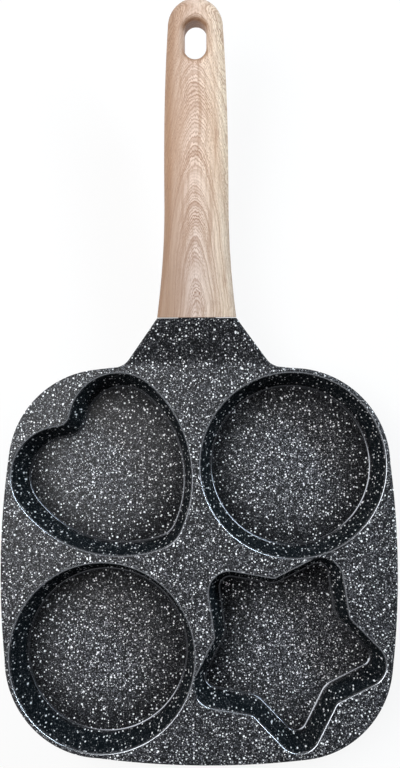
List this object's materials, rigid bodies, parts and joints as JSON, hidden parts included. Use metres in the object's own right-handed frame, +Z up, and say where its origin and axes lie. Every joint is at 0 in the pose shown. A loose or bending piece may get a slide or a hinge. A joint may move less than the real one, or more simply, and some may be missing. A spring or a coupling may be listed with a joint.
{
  "type": "pancake pan",
  "caption": "Cast pancake pan with heart, star and round cups sunk in a rounded square plate, a stone-look coating and a tapered wooden handle with a hanging slot.",
  "frame": {"origin": "under the middle of the whole pan, on the plane that the cups stand on", "axes": "+Y from the cups along the handle, +Z up out of the cups, +X to the right seen from above with the handle away"},
  "size_m": [0.19, 0.3608, 0.0562],
  "materials": {
    "stone_coating": "cast, with a dark stone-look coating with pale specks",
    "wood": "sanded and oiled",
    "steel": "plain zinc-plated"
  },
  "bodies": {
    "root": {"pan_body": "stone_coating", "wood_handle": "wood", "tang_screw_front": "steel", "tang_screw_rear": "steel", "spring_washer_front": "steel", "spring_washer_rear": "steel", "flat_washer_front": "steel", "flat_washer_rear": "steel"}
  },
  "joints": []
}
